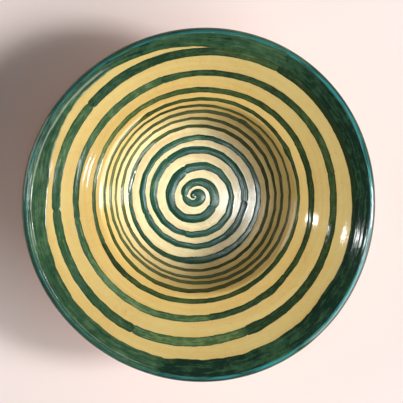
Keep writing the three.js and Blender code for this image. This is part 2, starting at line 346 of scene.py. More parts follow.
# ---- Meshes ----
def closed_mesh(name, rings, facts, wrap=False):
    """A closed mesh from a grid of points. Every row is a closed ring. The rows are joined in order, and the
    last one to the first if it wraps; otherwise each end closes on a point at its ring's middle. facts holds
    values for the grid's points, kept as attributes. The sign of the volume turns the faces outwards."""
    rows, count = rings.shape[:2]
    index = np.arange(rows * count).reshape(rows, count)
    if wrap:
        index = np.vstack([index, index[:1]])
    beside = np.roll(index, -1, axis=1)
    quads = np.stack([index[:-1], beside[:-1], beside[1:], index[1:]], -1).reshape(-1, 4)
    points = rings.reshape(-1, 3)
    fans = np.empty((0, 3), int)
    if not wrap:
        ends = rows * count + np.arange(2)
        points = np.vstack([points, rings[0].mean(0), rings[-1].mean(0)])
        first = np.stack([beside[0], index[0], np.full(count, ends[0])], -1)
        last = np.stack([index[-1], beside[-1], np.full(count, ends[1])], -1)
        fans = np.vstack([first, last])
    corners = np.concatenate([quads[:, [0, 1, 2]], quads[:, [0, 2, 3]], fans])
    a, b, c = (points[corners[:, k]] - points.mean(0) for k in range(3))
    if np.einsum("ij,ij->i", a, np.cross(b, c)).sum() < 0:
        quads, fans = quads[:, ::-1], fans[:, ::-1]
    mesh = bpy.data.meshes.new(name)
    mesh.vertices.add(len(points))
    mesh.vertices.foreach_set("co", points.astype(np.float32).ravel())
    loops = np.concatenate([quads.ravel(), fans.ravel()])
    sizes = np.concatenate([np.full(len(quads), 4), np.full(len(fans), 3)])
    mesh.loops.add(len(loops))
    mesh.loops.foreach_set("vertex_index", loops.astype(np.int32))
    mesh.polygons.add(len(sizes))
    mesh.polygons.foreach_set("loop_start", np.concatenate([[0], np.cumsum(sizes)[:-1]]).astype(np.int32))
    mesh.polygons.foreach_set("use_smooth", np.ones(len(sizes), bool))
    mesh.update(calc_edges=True)
    for key, values in facts.items():
        values = np.asarray(values, float)
        wide = values.shape[2] if values.ndim == 3 else 1
        flat = values.reshape(-1, wide)
        if not wrap:
            flat = np.vstack([flat, *(values[end].reshape(-1, wide).mean(0) for end in (0, -1))])
        kind, field = ("FLOAT_VECTOR", "vector") if wide == 3 else ("FLOAT", "value")
        mesh.attributes.new(key, kind, "POINT").data.foreach_set(field, flat.astype(np.float32).ravel())
    mesh.validate()
    return mesh


def add(name, data):
    made = bpy.data.objects.new(name, data)
    bpy.context.scene.collection.objects.link(made)
    return made


def place(mesh, node, material, slot):
    """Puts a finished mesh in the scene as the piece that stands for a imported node."""
    mesh.materials.append(material)
    piece = add(mesh.name, mesh)
    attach(piece, "root")
    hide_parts(node)


def turned(form, name, section, steps, wrap, facts=None):
    """A section spun about the floor's axis and settled. The section is a function of the angles, given as a
    row, so it may change round the dish. Each of its rows becomes a ring."""
    angles = np.linspace(0, 2 * np.pi, steps, endpoint=False)[None, :]
    radius, height, angles = np.broadcast_arrays(*section(angles), angles)
    known = {"turned": np.stack([radius, height, 0 * radius], -1)}
    if facts:
        known.update(facts(radius, height, angles))
    return closed_mesh(name, form.settle(radius, angles, height), known, wrap)


# ---- Shader expressions ----
class Wire:
    """A value in a shader. Python's operators on it add the Math nodes that work it out."""

    def __init__(self, finish, socket):
        self.finish = finish
        self.socket = socket

    def math(self, operation, *values):
        return self.finish.node("ShaderNodeMath", {"operation": operation}, dict(enumerate(values)))

    def __add__(self, other):
        return self.math("ADD", self, other)

    def __sub__(self, other):
        return self.math("SUBTRACT", self, other)

    def __rsub__(self, other):
        return self.math("SUBTRACT", other, self)

    def __mul__(self, other):
        return self.math("MULTIPLY", self, other)

    __radd__ = __add__
    __rmul__ = __mul__

    def least(self, other):
        return self.math("MINIMUM", self, other)

    def most(self, other):
        return self.math("MAXIMUM", self, other)


class Finish:
    """A material being made, with one method that adds any node and a few that name the common ones."""

    def __init__(self, name):
        self.material = bpy.data.materials.new(name)
        self.material.use_nodes = True
        self.tree = self.material.node_tree
        self.tree.nodes.clear()

    def node(self, kind, settings=None, sockets=None, out=0):
        made = self.tree.nodes.new(kind)
        for key, value in (settings or {}).items():
            setattr(made, key, value)
        for key, value in (sockets or {}).items():
            if isinstance(value, Wire):
                self.tree.links.new(value.socket, made.inputs[key])
            else:
                made.inputs[key].default_value = value
        return Wire(self, made.outputs[out]) if made.outputs else None

    def place(self):
        return self.node("ShaderNodeTexCoord", out="Object")

    def fact(self, name, out="Fac"):
        return self.node("ShaderNodeAttribute", {"attribute_name": name}, out=out)

    def part(self, vector, axis):
        return self.node("ShaderNodeSeparateXYZ", sockets={0: vector}, out=axis)

    def join(self, x, y, z):
        return self.node("ShaderNodeCombineXYZ", sockets={0: x, 1: y, 2: z})

    def noise(self, vector, scale, detail=3, rough=0.55, warp=0.0):
        sockets = {"Vector": vector, "Scale": scale, "Detail": detail, "Roughness": rough, "Distortion": warp}
        return self.node("ShaderNodeTexNoise", sockets=sockets)

    def streaks(self, x, y, z, detail=3, rough=0.55, warp=0.0):
        return self.noise(self.join(x, y, z), 1.0, detail, rough, warp)

    def cells(self, vector, scale, feature="F1"):
        sockets = {"Vector": vector, "Scale": scale}
        return self.node("ShaderNodeTexVoronoi", {"feature": feature}, sockets, "Distance")

    def dots(self, vector, scale, edge, middle, where, low, high):
        """Round dots, from the distance to scattered points, left only where a coarser noise is high."""
        return self.between(self.cells(vector, scale), edge, middle) * self.between(
            self.noise(vector, where, 1), low, high)

    def between(self, value, low, high):
        """0 where the value is low, 1 where it is high, eased between; low may be the larger."""
        span = {"Value": value, "From Min": low, "From Max": high, "To Min": 0.0, "To Max": 1.0}
        return self.node("ShaderNodeMapRange", {"interpolation_type": "SMOOTHSTEP", "clamp": True}, span)

    def mix(self, share, first, second):
        def full(value):
            return value if isinstance(value, Wire) else (*tuple(value)[:3], 1)

        sockets = {0: share, 6: full(first), 7: full(second)}
        return self.node("ShaderNodeMix", {"data_type": "RGBA"}, sockets, out=2)

    def bump(self, height, distance, strength):
        sockets = {"Height": height, "Distance": distance, "Strength": strength}
        return self.node("ShaderNodeBump", sockets=sockets)

    def done(self, base, rough, normal=None, ior=1.5):
        sockets = {"Base Color": base, "Roughness": rough, "IOR": ior}
        if normal is not None:
            sockets["Normal"] = normal
        shader = self.node("ShaderNodeBsdfPrincipled", sockets=sockets)
        self.node("ShaderNodeOutputMaterial", sockets={"Surface": shader})
        return self.material


# ---- Finishes ----
IRON_SPECK = colour(128, 84, 30)
CRACKLE = colour(150, 104, 46)
# Painted sheen: a blue-grey laid into the green in patches, standing for a reflection on the glaze
PAINTED_SHEEN_BLUE = colour(58, 104, 112)
WALL_BROWN = colour(70, 66, 22)
HONEY_PALE = colour(214, 160, 82)
HONEY_DEEP = colour(122, 70, 24)
HONEY_POOLED = colour(104, 56, 18)
HONEY_SPECK = colour(70, 40, 16)
CLAY_FLUSH = colour(150, 98, 66)
CLAY_PALE = colour(196, 150, 112)
CLAY_GRIT = colour(90, 56, 38)
TABLE_CLOUD = colour(226, 210, 208)


def ground_finish(colours):
    """Pale yellow glaze: soft clouds and turned rings of depth, iron specks, pinholes and a faint crackle."""
    f = Finish("yellow_glaze")
    place = f.place()
    radius = f.part(f.fact("turned", "Vector"), "X")
    east, north = f.part(place, "X"), f.part(place, "Y")
    rings = f.streaks(radius * 0.22, east * 5, north * 5, 4, 0.6)
    cloud = f.noise(place, 17, 4)
    fine = f.noise(place, 160, 3)
    depth = rings * 0.55 + cloud * 0.45 + (fine - 0.5) * 0.25
    # Painted light in part: the floor is paler glaze and is painted lighter for the brighter light that falls
    # on it
    base = f.mix(f.between(radius, 84, 60), colours.ground, colours.ground_pale_painted_light)
    warm = f.between(radius, 118, 96) * f.between(radius, 78, 90) * (0.35 + cloud * 0.6)
    base = f.mix(warm * 0.32, base, colours.ground_warm)
    base = f.mix(f.between(depth, 0.36, 0.66) * 0.4, base, colours.ground_thick)
    base = f.mix(f.fact("pool") * 0.35, base, colours.ground_thick)
    speck = f.dots(place, 210, 0.13, 0.05, 60, 0.56, 0.62)
    base = f.mix(speck * 0.55, base, IRON_SPECK)
    crackle = f.between(f.cells(place, 95, "DISTANCE_TO_EDGE"), 0.022, 0.006)
    crackle = crackle * f.between(cloud, 0.45, 0.6)
    base = f.mix(crackle * 0.16, base, CRACKLE)
    rough = 0.05 + fine * 0.05 + speck * 0.1
    pits = f.dots(place, 330, 0.16, 0.05, 90, 0.6, 0.66)
    skin = f.noise(place, 260, 2) * 0.5 + f.noise(place, 55, 2)
    normal = f.bump(skin - pits * 1.5, 0.00005, 0.7)
    return f.done(base, rough, normal)


def line_finish(colours):
    """Brushed green: teal on the floor and olive above it, the olive partly the green's own change and partly
    painted shade, most on the right of the flare; streaked by the hairs along each load, with thin and thick
    patches, bluish patches of painted sheen, darker sides, and brown edges over the yellow."""
    f = Finish("line_green")
    place = f.place()
    brush = f.fact("brush", "Vector")
    along, across, inside = (f.part(brush, axis) for axis in "XYZ")
    load, warm, seed = f.fact("load"), f.fact("warm"), f.fact("seed")
    hairs = f.streaks(along * 0.045, across * 1.1, seed, 4, 0.62, 0.2)
    drag = f.streaks(along * 0.16, across * 0.35, seed + 5, 3)
    fine = f.noise(place, 330, 3)
    depth = load + (hairs - 0.5) * 1.15 + (drag - 0.5) * 0.8 + (fine - 0.5) * 0.2
    depth = depth + f.between(inside, 1.7, 0.5) * 0.22
    usual, laid = f.between(depth, 0.1, 0.5), f.between(depth, 0.5, 0.92)
    teal = f.mix(laid, f.mix(usual, colours.line_thin, colours.line_mid), colours.line_thick)
    olive = f.mix(laid, f.mix(usual, colours.olive_thin, colours.olive_mid), colours.olive_thick)
    # Painted sheen: bluish patches scattered along the loads, standing for reflections on the glassy green
    painted_sheen = f.between(f.streaks(along * 0.03, across * 0.3, seed + 13, 3), 0.5, 0.68)
    teal = f.mix(painted_sheen * 0.55, teal, PAINTED_SHEEN_BLUE)
    # Painted shade in part: rise turns the green olive above the floor, and on the flare more on the right,
    # the side away from the light
    rise = f.fact("rise")
    body = f.mix((rise * 1.1 + (drag - 0.5) * 0.6).least(1).most(0), teal, olive)
    body = f.mix(warm * (0.35 + hairs * 0.5), body, WALL_BROWN)
    lean = f.between(depth + inside * 0.1, 0.16, -0.12)
    body = f.mix(lean * 0.75, body, colours.ground_thick)
    fray = f.streaks(along * 0.5, across * 0.5, seed, 3)
    edge = f.between(inside + (fray - 0.5) * 1.1, 0.7, 0.1)
    body = f.mix(edge * rise * 0.35, body, colours.line_edge)
    rough = 0.05 + (1 - f.between(depth, 0.1, 0.9)) * 0.06 + fine * 0.04
    normal = f.bump(hairs + f.noise(place, 240, 2) * 0.4, 0.00006, 0.6)
    return f.done(body, rough, normal)


def rim_finish(colours):
    """The rim's dark green: long streaks, olive where it is dragged thin, turquoise on the lip's crest."""
    f = Finish("rim_green")
    place = f.place()
    brush = f.fact("brush", "Vector")
    along, across, inside = (f.part(brush, axis) for axis in "XYZ")
    load, beyond, seed = f.fact("load"), f.fact("beyond"), f.fact("seed")
    hairs = f.streaks(along * 0.03, across * 0.55, seed, 5, 0.62, 0.25)
    drag = f.streaks(along * 0.09, across * 0.16, seed + 3, 4, 0.6)
    fine = f.noise(place, 280, 3)
    depth = load + (hairs - 0.5) * 1.2 + (drag - 0.5) * 1.1 + (fine - 0.5) * 0.2 - 0.08
    body = f.mix(f.between(depth, 0.18, 0.5), colours.rim_olive, colours.rim_mid)
    body = f.mix(f.between(depth, 0.5, 0.85), body, colours.rim_dark)
    outside = f.between(beyond, 6.5, 9)
    body = f.mix(outside * 0.8, body, colours.rim_dark)
    crest = f.between(beyond, 0.8, 2.2) * f.between(beyond, 5.0, 3.4)
    bare = crest * f.between(f.streaks(along * 0.04, across * 0.5, seed + 9, 3), 0.3, 0.6)
    body = f.mix(bare * f.fact("crest"), body, colours.lip_blue)
    fray = f.streaks(along * 0.4, across * 0.4, seed, 3)
    edge = f.between(inside + (fray - 0.5) * 1.2, 1.0, 0.2) * f.between(beyond, 2, 0)
    body = f.mix(edge * 0.55, body, colours.line_edge)
    rough = 0.05 + fine * 0.05
    normal = f.bump(hairs + f.noise(place, 200, 2) * 0.4, 0.00007, 0.6)
    return f.done(body, rough, normal)


def honey_finish(colours):
    """Outer glaze: amber with runs down the wall, pale where it is thin and dark where it has gathered."""
    f = Finish("honey_glaze")
    place = f.place()
    east, north, up = (f.part(place, axis) for axis in "XYZ")
    runs = f.streaks(east * 55, north * 55, up * 9, 4, 0.6, 0.3)
    cloud = f.noise(place, 13, 4)
    rings = f.streaks(up * 420, east * 4, north * 4, 3)
    depth = runs * 0.45 + cloud * 0.35 + rings * 0.2
    base = f.mix(f.between(depth, 0.35, 0.62), HONEY_PALE, colours.honey)
    base = f.mix(f.between(depth, 0.55, 0.75) * 0.8, base, HONEY_DEEP)
    base = f.mix(f.fact("pool") * 0.85, base, HONEY_POOLED)
    base = f.mix(f.dots(place, 190, 0.16, 0.06, 50, 0.5, 0.58) * 0.6, base, HONEY_SPECK)
    rough = 0.12 + cloud * 0.1
    normal = f.bump(rings * 0.8 + runs * 0.5 + f.noise(place, 200, 2) * 0.4, 0.00012, 0.7)
    return f.done(base, rough, normal)


def clay_finish(colours):
    """Bare clay: fine grit, the turning tool's rings, and a darker flush in patches."""
    f = Finish("bare_clay")
    place = f.place()
    turned = f.fact("turned", "Vector")
    radius, height = f.part(turned, "X"), f.part(turned, "Y")
    rings = f.streaks(radius * 1.6, height * 1.6, f.part(place, "X") * 8, 4, 0.6)
    cloud = f.noise(place, 22, 4)
    grit = f.noise(place, 900, 2, 0.7)
    base = f.mix(f.between(rings * 0.5 + cloud * 0.5, 0.36, 0.64), colours.clay, CLAY_FLUSH)
    base = f.mix(f.between(cloud, 0.52, 0.7) * 0.5, base, CLAY_PALE)
    base = f.mix(f.dots(place, 420, 0.2, 0.08, 120, 0.5, 0.6) * 0.6, base, CLAY_GRIT)
    rough = 0.78 + grit * 0.16
    normal = f.bump(rings + grit * 0.5, 0.00025, 0.8)
    return f.done(base, rough, normal, 1.45)


def table_finish(colours):
    """A plain pale floor with the least unevenness."""
    f = Finish("pale_table")
    cloud = f.noise(f.place(), 2.5, 3)
    base = f.mix(cloud * 0.2, colours.table, TABLE_CLOUD)
    return f.done(base, 0.7 + cloud * 0.1)


# ---- Pieces ----
def along_curve(points):
    """The distance gone at each of a row of points."""
    return np.concatenate([[0], np.cumsum(np.hypot(*np.diff(points, axis=0).T))])


def read(table, at):
    """A table of places and values, read at other places along straight lines."""
    return np.interp(at, table[:, 0], table[:, 1])


def tool_marks(marks, distance, turn):
    """A sine of the distance that turns with the angle, eased in at its start and out at its end."""
    wave = marks["depth"] * np.sin(2 * np.pi * distance / marks["pitch"] + turn)
    return wave * ease(distance, *marks["start"]) * (1 - ease(distance, *marks["end"]))


def outer_curve(form, lift):
    """The outer side from under the lip to under the floor, as distance along it, radius and height: a curve
    through points that stand a given lift outside the thrown wall's outer face."""
    end = form.lip(form.lip_inside - 180, form.lip_radius + lift)
    stations = [form.point(np.array(float(radius)), -form.wall - lift) for radius in OUTER_STATIONS]
    under = form.floor_height - form.wall - lift
    points = np.array([end, *stations, (62.5, under + 0.5), (57, under), (50, under)], float)
    chord = along_curve(points)
    curve = smooth_through(chord, points, np.linspace(0, chord[-1], 600))
    return along_curve(curve), *curve.T


def clay_body(form):
    """The thrown wall: out along the floor, wall and flare, round the lip, and back under the floor."""
    depth = form.glaze - 0.05
    out = np.linspace(0.6, form.lip_start, 110)[:, None]
    lip_degrees = np.linspace(form.lip_inside, form.lip_inside - 180, 14)[1:-1, None]
    along, radius, height = outer_curve(form, -depth)
    back = np.linspace(0, along[-1], 90)
    under = np.linspace(49, 0.6, 70)[:, None]

    def section(angles):
        inner = form.point(out, -depth, angles)
        lip = form.lip(lip_degrees, form.lip_radius - depth)
        nib = NIB_HEIGHT * np.exp(-((under / NIB_WIDTH) ** 2))
        bottom = form.floor_height - form.wall + depth - tool_marks(UNDER_MARKS, under, -angles) - nib
        outside = [np.interp(back, along, line)[:, None] for line in (radius, height)]
        rows = ((inner[0], lip[0], outside[0], under), (inner[1], lip[1], outside[1], bottom))
        return [np.vstack([part + 0 * angles for part in row]) for row in rows]

    return turned(form, "thrown_clay", section, 240, False)


def foot_ring(form, steps):
    """A turned ring whose section is a smooth curve through a few points, with tool marks up its sides."""
    points = np.array(FOOT_SECTION, float)
    points[[0, -1], 1] = form.floor_height - form.wall + form.glaze + 0.25
    chord = along_curve(points)
    radius, height = smooth_through(chord, points, np.linspace(0, chord[-1], 60)).T
    height = np.maximum(height, 0)
    lid = np.linspace(radius[-1], radius[0], 6)[1:-1]
    radius = np.concatenate([radius, lid])[:, None]
    height = np.concatenate([height, np.full(4, points[0, 1])])[:, None]

    def section(angles):
        chips = FOOT_CHIPS * wander(np.degrees(angles[0]), 9, 4)
        chips = ease(height, 0.2, 1.5) * (1 - ease(height, 3, 6)) * chips
        rough = tool_marks(FOOT_MARKS, height, angles) + chips
        return radius + np.sign(radius - FOOT_MIDDLE) * rough, height + 0 * angles

    return turned(form, "turned_foot", section, steps, True)


def ground_glaze(form, steps):
    """The pale glaze: its face from the middle of the floor to the top of the lip, its back a coat lower."""
    spans = ((0.6, 56, 40), (57, 100, 70), (101, form.lip_start, 66))
    out = np.concatenate([np.linspace(*span) for span in spans])
    round_lip = np.linspace(0, np.radians(form.lip_inside - SKIN_SPLIT - SPLIT_GAP) * form.lip_radius, 8)[1:]
    radius = np.concatenate([out, np.full(len(round_lip), form.lip_start)])
    beyond = np.concatenate([np.zeros(len(out)), round_lip])
    back = np.arange(len(radius) - 1, -1, -3)

    def section(angles):
        face = form.over_lip(radius[:, None], beyond[:, None] + 0 * angles, 0, angles)
        rear = form.over_lip(radius[back, None], beyond[back, None] + 0 * angles, -form.glaze, angles)
        return np.vstack([face[0] + 0 * angles, rear[0] + 0 * angles]), np.vstack([face[1], rear[1]])

    def facts(radius, height, angles):
        edge = (radius - form.floor_radius - POOL_PLACE) / POOL_WIDTH
        pool = np.exp(-(edge ** 2)) * (0.7 + 0.3 * np.sin(3 * angles + 1))
        return {"pool": pool * (height < form.floor_height + 12)}

    return turned(form, "yellow_coat", section, steps, False, facts)


def outer_glaze(form, steps):
    """The honey glaze: down the outside to an uneven edge with a low roll, and back along the clay."""
    along, radius, height = outer_curve(form, -form.glaze)
    tangent = np.stack([np.gradient(radius, along), np.gradient(height, along)])
    square = np.stack([-tangent[1], tangent[0]]) / np.hypot(*tangent)
    lip_degrees = np.linspace(SKIN_SPLIT - SPLIT_GAP, form.lip_inside - 180, 14)[:-1, None]
    share = np.sin(np.linspace(0, np.pi / 2, 110))[:, None]

    def section(angles):
        degrees = np.degrees(angles[0])
        drips = sum(size * wander(degrees, step, seed) for size, step, seed in HONEY_DRIPS)
        join = ease(degrees, 345, 360)
        drips = drips * (1 - join) + drips[0] * join
        reach = along[-1] - HONEY_STOPS + drips[None, :]
        way = share * reach
        left = reach - way
        roll = form.glaze * np.sqrt(np.clip(left / 1.4, 0, 1)) + 0.45 * np.exp(-(((left - 2) / 1.6) ** 2))

        def at(distance, lift):
            spots = [np.interp(distance, along, line) for line in (radius, height, square[0], square[1])]
            return spots[0] - spots[2] * lift, spots[1] - spots[3] * lift

        face, rear = at(way, roll), at(way[::-4], -HONEY_LAP)
        lip_face = form.lip(lip_degrees + 0 * angles, form.lip_radius)
        lip_rear = form.lip(lip_degrees[::-1] + 0 * angles, form.lip_radius - form.glaze - HONEY_LAP)
        return [np.vstack([lip_face[k], face[k], rear[k], lip_rear[k]]) for k in (0, 1)]

    def facts(radius, height, angles):
        return {"pool": (1 - ease(height, 14, 24)) * 0.9}

    return turned(form, "honey_coat", section, steps, True, facts)


# A brush load: how far it runs on past its ends, how deep its back and its sides lie, how high it stands when
# thin and how much more when thick or pooled, and the ridge near its sides
STROKE_OVERLAP = 2.2
STROKE_SINK, STROKE_EDGE = 0.25, 0.015
STROKE_THIN, STROKE_THICK, STROKE_POOLED = 0.12, 0.1, 0.05
STROKE_POOL = 0.14
RIDGE_HEIGHT, RIDGE_PLACE, RIDGE_WIDTH = 0.12, 0.78, 0.16
HAIR_HEIGHT = 0.02
SHAKES = (0.20, 0.13)
PULL_LENGTHS = (13, 19)
PULL_SHARE = 0.66


class BrushedLine:
    """The spiral's middle line: angle and radius against the distance that the brush has gone."""

    def __init__(self, form):
        self.form = form
        self.degrees = np.arange(BRUSH_WAY[0, 0], BRUSH_WAY[-1, 0], 0.25)
        self.radius = self.straighten(smooth_through(BRUSH_WAY[:, 0], BRUSH_WAY[:, 1], self.degrees))
        self.width = smooth_through(BRUSH_WAY[:, 0], BRUSH_WAY[:, 2], self.degrees)
        step = np.hypot(np.diff(np.radians(self.degrees)) * self.radius[1:], np.diff(self.radius))
        self.distance = np.concatenate([[0], np.cumsum(step)])
        self.out = np.linspace(0.2, form.lip_start + 2, 1600)
        self.surface = along_curve(np.stack([self.out, form.height(self.out)], -1))
        ends, depths = zip(*BRUSH_LOADS)
        spans = zip((LINE_START, *ends), ends, depths)
        spots = [np.linspace(a, b, len(row) + 2)[1:-1] for a, b, row in spans]
        self.shade = np.stack([np.concatenate(spots), np.concatenate(depths)], -1)

    def straighten(self, radius):
        """The brush is moved in short pulls, so the line bends at their joins. Between two joins its radius
        leans two thirds of the way to a straight line's, r0 r1 sin(a + b) / (r0 sin(a) + r1 sin(b)), where
        a and b are the angles gone since the last join and left to the next."""
        random = np.random.default_rng(31)
        joins = [self.degrees[0]]
        while joins[-1] < self.degrees[-1]:
            reach = np.interp(joins[-1], self.degrees, radius)
            joins.append(joins[-1] + math.degrees(random.uniform(*PULL_LENGTHS) / max(reach, 9)))
        joins = np.array(joins)
        ends = np.interp(joins, self.degrees, radius)
        i = np.clip(np.searchsorted(joins, self.degrees, "right") - 1, 0, len(joins) - 2)
        past = np.radians(self.degrees - joins[i])
        left = np.radians(joins[i + 1] - self.degrees)
        near, far = ends[i], ends[i + 1]
        pull = near * far * np.sin(past + left) / (near * np.sin(past) + far * np.sin(left))
        share = PULL_SHARE * ease(radius, 10, 34)
        return radius + ((pull - radius) + (radius - pull).mean()) * share

    def gone(self, degrees):
        return float(np.interp(degrees, self.degrees, self.distance))

    def load(self, index, start, finish, loads):
        """One brush load: a ribbon whose two sides wander. It is domed, with a low ridge near each side,
        rounded at both ends, and sunk a little into the glaze under it."""
        form = self.form
        seed = 100 + 7 * index
        random = np.random.default_rng(seed)
        first, last = self.gone(start) - STROKE_OVERLAP, self.gone(finish) + STROKE_OVERLAP * 0.6
        middle_width = float(np.interp((start + finish) / 2, self.degrees, self.width))
        nose, tail = middle_width * random.uniform(0.55, 0.9), middle_width * random.uniform(0.45, 0.7)
        bend = np.linspace(0, np.pi / 2, 8)
        count = max(int((last - first - nose - tail) / form.grid_step), 4)
        body = np.linspace(first + nose, last - tail, count)
        start_cap, end_cap = first + nose * (1 - np.cos(bend)), last - tail + tail * np.sin(bend)
        gone = np.concatenate([start_cap[:-1], body, end_cap[1:]])
        degrees = np.interp(gone, self.distance, self.degrees)
        radius = np.interp(gone, self.distance, self.radius)
        half = np.interp(gone, self.distance, self.width) / 2
        near = np.clip((gone - first) / nose, 0, 1)
        far = np.clip((last - gone) / tail, 0, 1)
        cap = np.sqrt(1 - (1 - near) ** 2) * np.sqrt(1 - (1 - far) ** 2) + 0.02
        sides = []
        for side in (-1, 1):
            shake = SHAKES[0] * wander(gone, 9, seed + side) + SHAKES[1] * wander(gone, 3.1, seed + 2 * side)
            slips = SLIPS[(SLIPS[:, 1] == side) | (SLIPS[:, 1] == 0)]
            swell = (slips[:, 2] * np.exp(-(((degrees[:, None] - slips[:, 0]) / slips[:, 3]) ** 2))).sum(1)
            sides.append(half + shake * np.minimum(1, half / 2.5) + swell)
        top = -np.cos(np.linspace(0, np.pi, 15))
        across = np.concatenate([top, np.array([0.7, 0, -0.7])])[None, :]
        under = np.concatenate([np.zeros(len(top), bool), np.ones(3, bool)])[None, :]
        width = np.where(across < 0, sides[0][:, None], sides[1][:, None]) * cap[:, None]
        offset = across * width
        here = np.interp(radius, self.out, self.surface)[:, None] + offset
        spot = np.interp(here, self.surface, self.out)
        thick = np.interp(np.linspace(0, 1, len(gone)), np.linspace(0, 1, len(loads)), loads)
        thick = 0.62 * thick + 0.38 * read(self.shade, degrees)
        pool = STROKE_POOL * np.exp(-(((last - gone) / (middle_width * 0.6)) ** 2))
        thick = np.clip(thick + pool + 0.10 * wander(gone, 14, seed + 5), 0, 1.15)
        dome = np.sqrt(np.clip(1 - across ** 2, 0, 1))
        ridge = 1 + RIDGE_HEIGHT * np.exp(-(((np.abs(across) - RIDGE_PLACE) / RIDGE_WIDTH) ** 2))
        hairs = HAIR_HEIGHT * np.sin(across * 8 + 2.5 * wander(gone, 25, seed + 6)[:, None])
        relief = STROKE_THIN + STROKE_THICK * thick + STROKE_POOLED * pool / STROKE_POOL
        relief = (relief * np.minimum(1, cap * 1.5))[:, None]
        lift = np.where(under, -STROKE_SINK, dome ** 2 * ridge * relief + hairs * dome - STROKE_EDGE)
        angle = np.radians(degrees)[:, None] + 0 * spot
        rho, height = form.point(spot, lift, angle)
        rings = form.settle(rho, angle, height)
        inside = width / cap[:, None] * (1 - np.abs(across))
        steep = ease(form.slope(spot), math.radians(22), math.radians(58))
        warm = (0.75 + 0.4 * wander(gone, 40, seed + 8)) * (1.15 - thick)
        # Painted shade: on the flare the olive is held back most on the left, where the light falls, so the
        # right stays duller olive
        outer = (0.3 - 0.2 * np.cos(np.radians(degrees))) * ease(radius, 92, 112)
        rise = 0.05 + ease(radius, 54, 72) * (0.95 - outer)
        facts = {
            "brush": np.stack([gone[:, None] + 0 * offset, offset, inside], -1),
            "load": thick[:, None] + 0 * offset,
            "warm": np.clip(steep * warm[:, None], 0, 1),
            "seed": np.full(offset.shape, float(index)),
            "rise": rise[:, None] + 0 * offset,
        }
        return closed_mesh(f"line_load_{index:02d}", rings, facts)


def rim_band(form, index, start, finish):
    """One length of the rim band: from an uneven inner edge on the flare, over the lip and a little way down
    the outside, feathered at its edges. On the left it has a low roll just inside the lip."""
    seed = 500 + 11 * index
    overlap = math.degrees(3.0 / form.lip_start)
    count = int(np.radians(finish - start) * form.lip_start / (form.grid_step * 1.25))
    degrees = np.linspace(start - overlap, finish + overlap, count)[:, None]
    gone = np.radians(degrees[:, 0]) * form.lip_start
    edge = read(BAND_EDGE, degrees[:, 0]) + 0.5 * wander(gone, 17, seed) + 0.3 * wander(gone, 5, seed + 1)
    flat = (form.lip_start - edge)[:, None]
    lip_length = math.radians(form.lip_inside - BAND_LIP_END) * form.lip_radius
    total = flat + (lip_length + 0.5 * wander(gone, 12, seed + 2) - 0.5)[:, None]
    top = (1 - np.cos(np.linspace(0, np.pi, 64))) / 2 * 0.5 + np.linspace(0, 1, 64) * 0.5
    share = np.concatenate([top, np.linspace(0.97, 0.03, 12)])[None, :]
    under = np.concatenate([np.zeros(64, bool), np.ones(12, bool)])[None, :]
    way = share * total
    beyond = way - flat
    tip = np.minimum(gone - gone[0], gone[-1] - gone)[:, None] + 0.9 * np.sin(way * 0.9 + index) + 0.4
    feather = np.sqrt(np.clip(np.minimum(way, total - way) / 1.6, 0, 1) * np.clip(tip / 2.2, 0, 1))
    thick = read(BAND_LOAD, degrees[:, 0]) + 0.08 * wander(gone, 20, seed + 3)
    hairs = 0.03 * np.sin(way * 1.7 + 2 * wander(gone, 60, seed + 4)[:, None])
    relief = BAND_THIN + BAND_THICK * thick[:, None] + hairs
    west = ease(-np.cos(np.radians(degrees)), 0, 0.6)
    roll = ROLL_HEIGHT * west * np.exp(-(((beyond + ROLL_PLACE) / ROLL_WIDTH) ** 2))
    lift = np.where(under, -BAND_SINK, (np.minimum(relief, BAND_TOP) + roll) * feather - BAND_EDGE_SINK)
    angle = np.radians(degrees) + 0 * way
    rho, height = form.over_lip(edge[:, None] + np.minimum(way, flat), beyond, lift, angle)
    facts = {
        "brush": np.stack([gone[:, None] + 0 * way, way, np.minimum(way, total - way)], -1),
        "load": thick[:, None] + 0 * way,
        "beyond": beyond,
        "crest": read(BAND_CREST, degrees) + 0 * way,
        "seed": np.full(way.shape, float(index) * 3),
    }
    return closed_mesh(f"rim_load_{index}", form.settle(rho, angle, height), facts)


# ---- Stage ----
VIEW_DISTANCE = 1.0
VIEW_LEAN = 3
VIEW_SIDE = (-0.42, 0.907)
VIEW_WIDTH = 0.3615
VIEW_AIM = (4.58, -1.67)
SENSOR = 36
RIM_HEIGHT = 0.082
TABLE_SIZE, TABLE_STEPS, TABLE_DROP = 3.0, 13, 0.0004
ROOM_COLOUR, ROOM_STRENGTH = (1, 0.95, 0.88, 1), 0.06

# The lamp over the floor of the well: where it is aimed, off the floor's axis, where it stands, and its cone
FLOOR_AIM = (33, -10)
FLOOR_SIDE, FLOOR_LEAN, FLOOR_DISTANCE = -20, 21, 1.2
FLOOR_WATTS, FLOOR_REACH, FLOOR_SOFTNESS = 54, 0.084, 0.12

# name, direction it stands in from +X anticlockwise, angle from straight up, distance, width, height, watts
# and colour
LIGHTS = (
    ("window_right", -4, 56, 5, 0.9, 1.4, 215, (1, 0.99, 0.97)),
    ("soft_right", -24, 68, 5, 5, 5, 410, (1, 0.99, 0.97)),
    ("soft_left", 165, 75, 5, 2.6, 2.6, 78, (1, 0.94, 0.84)),
    ("overhead_near", -40, 4.6, 2.2, 0.06, 0.11, 0.3, (0.9, 0.96, 1)),
    ("overhead_far", -28, 6.3, 2.2, 0.08, 0.13, 0.45, (0.92, 0.97, 1)),
    ("overhead_wide", -31, 5.6, 2.2, 0.28, 0.36, 0.55, (0.9, 0.96, 1)),
    ("pane_left_low", 175, 26.3, 5, 0.10, 0.34, 5.5, (0.97, 0.99, 1)),
    ("pane_left_high", 174, 23.8, 5, 0.08, 0.28, 3.2, (0.97, 0.99, 1)),
)


